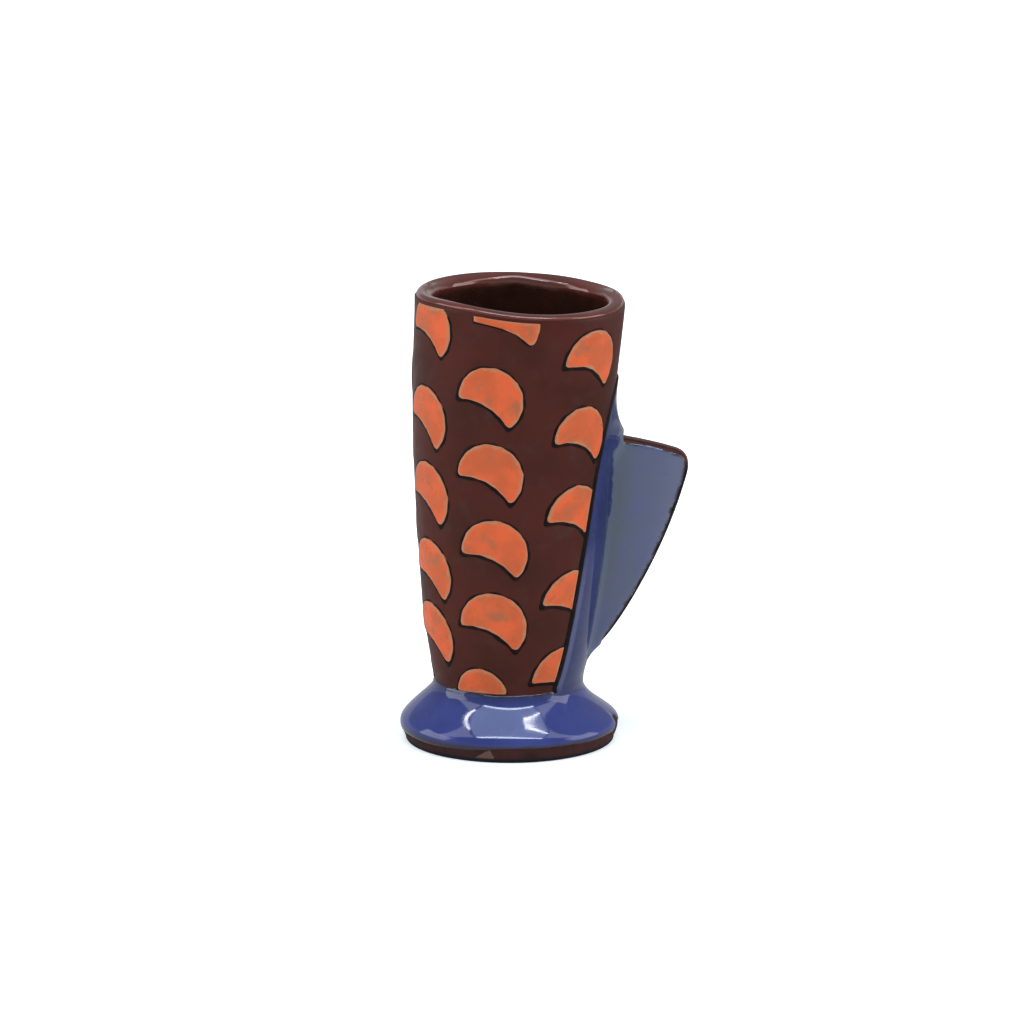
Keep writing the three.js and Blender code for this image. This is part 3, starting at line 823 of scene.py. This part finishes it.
def add_blue_glaze(skin):
    """One coat of blue glaze over the foot, the panel, the fin's faces and the coil at its root."""
    points, triangles, outside = glaze_net()
    normals = gradient(coil_distance, points)
    normals /= np.linalg.norm(normals, axis=1)[:, None]
    inward = np.clip(-outside / GLAZE_EDGE, 0, 1)
    thickness = GLAZE * np.sqrt(1 - (1 - inward) ** 2)
    over = points + normals * thickness[:, None]
    under = sunk_to_clay(points, normals, 0.12)
    count = len(points)
    sides = [(a + count, b + count, b, a) for a, b in border_edges(triangles)]
    faces = [*triangles, *(triangles[:, ::-1] + count), *sides]

    x, y, z = points.T
    off_wall = np.hypot(x, y) - body_radius(z)
    across = np.arctan2(y, x) * body_radius(z)
    # The strip just inside the black line, between the neck and about 50 mm, that blue_glaze paints paler as
    # a painted reflection.
    reflection_by_line = smoothstep(-2.3, -1.5, outside_arch(across, z)) * (off_wall < 0.4) * (np.abs(across) < 20)
    reflection_by_line *= smoothstep(11.5, 14.5, z) * smoothstep(50, 30, z)
    in_corner = smoothstep(4.6, 3.8, np.abs(y)) * smoothstep(17, 20, z) * smoothstep(54, 42, z)
    saddle = smoothstep(62.5, 65.5, z) * smoothstep(27, 23, x)
    milkiness = off_wall - 0.8 * saddle + 0.9 * in_corner
    marks = {"edge": -outside, "off_wall": milkiness, "reflection_by_line": reflection_by_line, "height": z}
    marks = {name: np.tile(values, 2) for name, values in marks.items()}
    piece = clean_object("blue_glaze_coat", np.concatenate([over, under]), faces, skin, **marks)
    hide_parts("foot_glaze", "panel_glaze", "fin_glaze_front", "fin_glaze_back", "fin_root_coil")


def add_panel_line(skin):
    """The black line round the blue panel: a low bead from the neck, over the fin, and down to the neck."""
    share = np.linspace(-1, 1, PATH_STEPS)
    half_width, spring, crown, bottom = (LINE_ARCH[k] for k in ("half_width", "spring", "crown", "bottom"))
    straight = spring + (bottom - spring) * (np.abs(share) - 0.5) * 2
    turn = share * math.pi
    on_curve = np.abs(share) < 0.5
    across = np.where(on_curve, half_width * np.sin(turn), half_width * np.sign(share))
    height = np.where(on_curve, spring + (crown - spring) * np.cos(turn), straight)
    path = np.stack([across, height], axis=1)
    along = np.gradient(path, axis=0)
    along /= np.linalg.norm(along, axis=1)[:, None]
    normal = np.stack([-along[:, 1], along[:, 0]], axis=1)
    width = LINE_WIDTH * (1 + 0.1 * np.sin(share * 21) + 0.07 * np.sin(share * 47 + 1))
    half_section = ((-0.5, -0.25), (-0.5, 0.02), (-0.32, 0.26))  # share of the width, and lift off the clay
    section = [*half_section, (0, 0.34), *((-reach, lift) for reach, lift in reversed(half_section))]
    rings = []
    for reach, lift in section:
        place = path + normal * (reach * width)[:, None]
        rings.append(on_wall(place[:, 0], place[:, 1], lift))
    points = np.stack(rings, axis=1).reshape(-1, 3)
    index = np.arange(len(points)).reshape(PATH_STEPS, len(rings))
    faces = strip_faces(list(index)) + [tuple(index[0][::-1]), tuple(index[-1])]
    piece = clean_object("panel_line_bead", points, facing_out(points, faces), skin)
    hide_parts("panel_line")


def facing_out(points, faces):
    """The same faces, all turned over if they enclose a negative volume."""
    volume = 0.0
    for face in faces:
        a = points[face[0]]
        for i in range(1, len(face) - 1):
            volume += np.dot(a, np.cross(points[face[i]], points[face[i + 1]]))
    return faces if volume > 0 else [tuple(face[::-1]) for face in faces]


def outside_scale(u, v, shift=(0, 0), grow=0.0):
    """How far a place on the unrolled wall is outside a scale that is shifted and grown."""
    u, v = u - shift[0], v - shift[1]
    disc = np.hypot(u - SCALE_CENTRE[0], v - SCALE_CENTRE[1]) - SCALE_RADIUS
    bite = BITE_RADIUS - np.hypot(u - BITE_CENTRE[0], v - BITE_CENTRE[1])
    return rounded_max(disc, bite, SCALE_CORNER) - grow


def outline_of(outside, heart):
    """Distances from the heart to an outline in every direction, by halving."""
    angles = np.linspace(0, 2 * math.pi, SCALE_STEPS, endpoint=False)
    directions = np.stack([np.cos(angles), np.sin(angles)], axis=1)
    near = np.zeros(SCALE_STEPS)
    far = np.full(SCALE_STEPS, 3 * SCALE_RADIUS)
    for _ in range(30):
        middle = (near + far) / 2
        place = heart + directions * middle[:, None]
        inside = outside(place[:, 0], place[:, 1]) < 0
        near = np.where(inside, middle, near)
        far = np.where(inside, far, middle)
    return directions, near


def heart_of(outside):
    """A place well inside an outline."""
    u, v = np.meshgrid(*2 * [np.linspace(-SCALE_RADIUS, SCALE_RADIUS, 45)])
    weight = np.maximum(0, -outside(u, v)) ** 2
    return np.array([(u * weight).sum(), (v * weight).sum()]) / weight.sum()


def add_scale(name, azimuth, centre, rng, orange, black):
    """One scale: a low pillow of slip and the black line drawn round it."""
    tilt = math.radians(rng.uniform(-TILT_WOBBLE, TILT_WOBBLE) + TURNS.get(name, 0))
    size = rng.uniform(1 - SIZE_WOBBLE, 1 + SIZE_WOBBLE) * SMALL_SCALES.get(name, 1)

    def turned_uv(u, v):
        return (
            (u * math.cos(tilt) + v * math.sin(tilt)) / size,
            (v * math.cos(tilt) - u * math.sin(tilt)) / size,
        )

    def cut(u, v, clear):
        """How far a place is above or below the scales' limits, or too near the panel's black line."""
        z = centre + v
        across = u + azimuth * body_radius(z)
        level = np.maximum(z - SCALE_CEILING, SCALE_FLOOR - z)
        return np.maximum(level, clear - outside_arch(across, z))

    def pad(u, v):
        wobble = 0.07 * np.sin(u * 1.7 + azimuth * 9) * np.sin(v * 1.9 + centre)
        return np.maximum(outside_scale(*turned_uv(u, v)) + wobble, cut(u, v, 0.42 * LINE_WIDTH))

    def ring(u, v):
        wobble = 0.1 * np.sin(u * 1.3 + centre) + 0.08 * np.sin(v * 2.1 + azimuth * 7)
        drawn = outside_scale(*turned_uv(u, v), RING_SHIFT, THIN_RINGS.get(name, RING_WIDTH)) + wobble
        return np.maximum(np.minimum(drawn, pad(u, v) - 0.15), cut(u, v, 0.3 * LINE_WIDTH))

    heart = heart_of(pad)
    directions, reach = outline_of(pad, heart)
    _, ring_reach = outline_of(ring, heart)

    def ring_points(distance, lift):
        place = heart + directions * distance[:, None]
        return on_wall(place[:, 0], centre + place[:, 1], lift, azimuth)

    sunk, crest = -0.2, 0.31  # lift of the pillow's underside and of its middle
    steps = ((0, sunk), (0, 0.06), (0.06, 0.15), (0.18, 0.22), (0.4, 0.27), (0.8, 0.29), (1.5, 0.3))
    levels = [(np.maximum(reach - inward, reach * 0.4), lift, inward) for inward, lift in steps]
    levels += [(reach * 0.3, crest, 2.5)]
    points = np.concatenate([ring_points(distance, lift) for distance, lift, _ in levels])
    edge = np.concatenate([np.full(SCALE_STEPS, inward, float) for _, _, inward in levels])
    tips = np.concatenate([ring_points(0 * reach, lift)[:1] for lift in (crest, sunk)])
    index = np.arange(len(points)).reshape(-1, SCALE_STEPS)
    faces = strip_faces(list(index))
    faces += fan_faces(index[-1], len(points), False) + fan_faces(index[0], len(points) + 1, True)
    points = np.concatenate([points, tips])
    edge = np.concatenate([edge, [3, 0]])
    piece = clean_object(f"slip.{name}", points, facing_out(points, faces), orange, edge=edge)
    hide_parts(f"scale_{name}")

    width = np.maximum(ring_reach - reach, 0)
    drawn = smoothstep(0.02, 0.25, width)
    section = ((-0.3, sunk), (-0.1, 0.08), (0.15, 0.13), (0.5, 0.15), (0.85, 0.1), (1, 0.0), (1, sunk))
    loops = []
    for share, lift in section:
        distance = reach + np.where(share < 0, share, share * width)
        loops.append(ring_points(distance, lift * drawn - 0.25 * (1 - drawn)))
    points = np.concatenate(loops)
    index = np.arange(len(points)).reshape(len(loops), SCALE_STEPS)
    faces = strip_faces([*index, index[0]])
    outline = clean_object(f"outline.{name}", points, facing_out(points, faces), black)


def add_scales(orange, black):
    """Every scale of every column, numbered from the top."""
    rng = np.random.default_rng(7)
    for column, (azimuth, tops, drifts) in COLUMNS.items():
        for row, (top, drift) in enumerate(zip(tops, drifts), start=1):
            angle = math.radians(azimuth + drift)
            add_scale(f"{column}_{row}", angle, top - SCALE_RISE, rng, orange, black)


# --- Stage ---

WINDOW_HEIGHT = 0.7  # metres
DOWN = (0, 0, -1)


def add_stage(name, points, faces):
    """A pale surface that glows, less so near the cup, where the weaker glow paints a darker contact shadow,
    and that stays white in the picture. Glaze sees it dimmed, as it would see a white sheet in a dark room,
    and dimmer still in a band to the right."""
    skin = Skin(name, Roughness=0.6, Specular_IOR_Level=0.1, Base_Color=(0.8, 0.8, 0.8, 1))
    skin.shader.inputs["Emission Color"].default_value = (0.86, 0.95, 1, 1)
    nodes = skin.tree.nodes
    distance = nodes.new("ShaderNodeVectorMath")
    distance.operation = "LENGTH"
    skin.link(skin.place, distance.inputs[0])
    # The glow is weaker within a few centimetres of the cup, which paints a darker contact shadow round the
    # foot.
    shadowed_near_cup, away = 0.5, 1.15
    glow = skin.range(distance.outputs["Value"], 0.026, 0.05, shadowed_near_cup, away)
    skin.link(glow, skin.shader.inputs["Emission Strength"])

    split = nodes.new("ShaderNodeSeparateXYZ")
    skin.link(skin.place, split.inputs[0])
    reflected, in_band = 0.55, 0.2
    before_band = skin.range(split.outputs["X"], 0.1, 0.14, reflected, in_band)
    after_band = skin.range(split.outputs["X"], 0.24, 0.3, in_band, reflected)
    dimmed = nodes.new("ShaderNodeEmission")
    skin.link(skin.math("MAXIMUM", before_band, after_band), dimmed.inputs["Strength"])
    seen = nodes.new("ShaderNodeMixShader")
    skin.link(nodes.new("ShaderNodeLightPath").outputs["Is Glossy Ray"], seen.inputs[0])
    skin.link(skin.shader.outputs[0], seen.inputs[1])
    skin.link(dimmed.outputs[0], seen.inputs[2])
    skin.link(seen.outputs[0], nodes["Material Output"].inputs["Surface"])
    mesh = bpy.data.meshes.new(name)
    mesh.from_pydata(points, [], faces)
    mesh.materials.append(skin.material)
    surface = bpy.data.objects.new(name, mesh)
    bpy.context.scene.collection.objects.link(surface)


def add_floor():
    """A plain white table that runs out of sight to a low white screen all round."""
    radius, height, count = 7.0, 1.6, 48
    angles = np.linspace(0, 2 * math.pi, count, endpoint=False)
    low = [(radius * math.cos(a), radius * math.sin(a), 0) for a in angles]
    high = [(x, y, height) for x, y, _ in low]
    add_stage("table", low, [tuple(range(count))])
    index = np.arange(2 * count).reshape(2, count)
    add_stage("screen", low + high, [face[::-1] for face in strip_faces(list(index))])


def add_lamp(name, place, facing, size, radiance, colour=(1, 1, 1), turn=0.0):
    """A rectangular lamp that faces a direction, in metres. turn, in degrees, turns it in its own plane."""
    light = bpy.data.lights.new(name, "AREA")
    light.shape = "RECTANGLE"
    light.size, light.size_y = size
    light.energy = radiance * math.pi * size[0] * size[1]
    light.color = colour
    lamp = bpy.data.objects.new(name, light)
    lamp.location = place
    aim = Vector(facing).to_track_quat("-Z", "Y") @ Quaternion((0, 0, 1), math.radians(turn))
    lamp.rotation_euler = aim.to_euler()
    bpy.context.scene.collection.objects.link(lamp)


def add_bar(name, start, end, width, radiance):
    """A bright bar just below the window, from one place to another, given as (x, y) in metres."""
    along = np.subtract(end, start)
    middle = np.add(start, end) / 2
    turn = math.degrees(math.atan2(along[1], along[0]))
    add_lamp(name, (*middle, WINDOW_HEIGHT - 0.02), DOWN, (np.hypot(*along), width), radiance, turn=turn)


def add_light():
    """A dim room with a bluish window overhead, its hot sill and bars, and soft panels and walls at the
    sides. The sill and the bars are lower than the window, which would hide them otherwise."""
    world = bpy.data.worlds.new("room")
    world.use_nodes = True
    world.node_tree.nodes["Background"].inputs["Color"].default_value = (1, 1, 1, 1)
    world.node_tree.nodes["Background"].inputs["Strength"].default_value = 0.28
    bpy.context.scene.world = world

    add_lamp("window", (0, -0.13, WINDOW_HEIGHT), DOWN, (0.66, 0.27), 3.2, (0.66, 0.8, 1))
    add_lamp("window_sill", (0, -0.262, WINDOW_HEIGHT - 0.01), DOWN, (0.66, 0.05), 16, (0.8, 0.9, 1))
    add_bar("bar_right", (0.125, -0.108), (0.33, -0.062), 0.016, 26)
    add_bar("bar_left", (-0.375, 0.04), (-0.335, -0.085), 0.022, 22)
    add_lamp("panel_left", (-0.73, -0.135, WINDOW_HEIGHT), DOWN, (0.74, 0.23), 2)
    add_lamp("panel_right", (0.72, -0.1, WINDOW_HEIGHT), DOWN, (0.74, 0.22), 2)
    for side, name in ((-1, "left"), (1, "right")):
        add_lamp("wall_" + name, (0.95 * side, -0.05, 0.35), (-side, 0, -0.3), (0.7, 0.55), 2.5)


def add_camera():
    """A long lens, a little above the cup, with the fin to the right."""
    distance = 2.1
    frame_width = 0.2154  # at the cup
    camera = bpy.data.cameras.new("camera")
    camera.sensor_width = 36
    camera.lens = camera.sensor_width * distance / frame_width
    camera.clip_end = 60
    eye = bpy.data.objects.new("camera", camera)
    aim = Vector((0.00177, 0, 0.0473))
    elevation = math.radians(13.7)
    eye.location = aim + distance * Vector((0, -math.cos(elevation), math.sin(elevation)))
    eye.rotation_euler = (aim - eye.location).to_track_quat("-Z", "Y").to_euler()
    bpy.context.scene.collection.objects.link(eye)
    bpy.context.scene.camera = eye


add_camera()
add_light()
add_floor()
brown = brown_slip()
black = black_line()
add_beaker(brown)
add_fin(fin_slip())
add_foot(bare_clay())
add_liner(liner_glaze())
add_blue_glaze(blue_glaze())
add_panel_line(black)
add_scales(orange_slip(), black)
bpy.context.scene.view_settings.view_transform = "Standard"
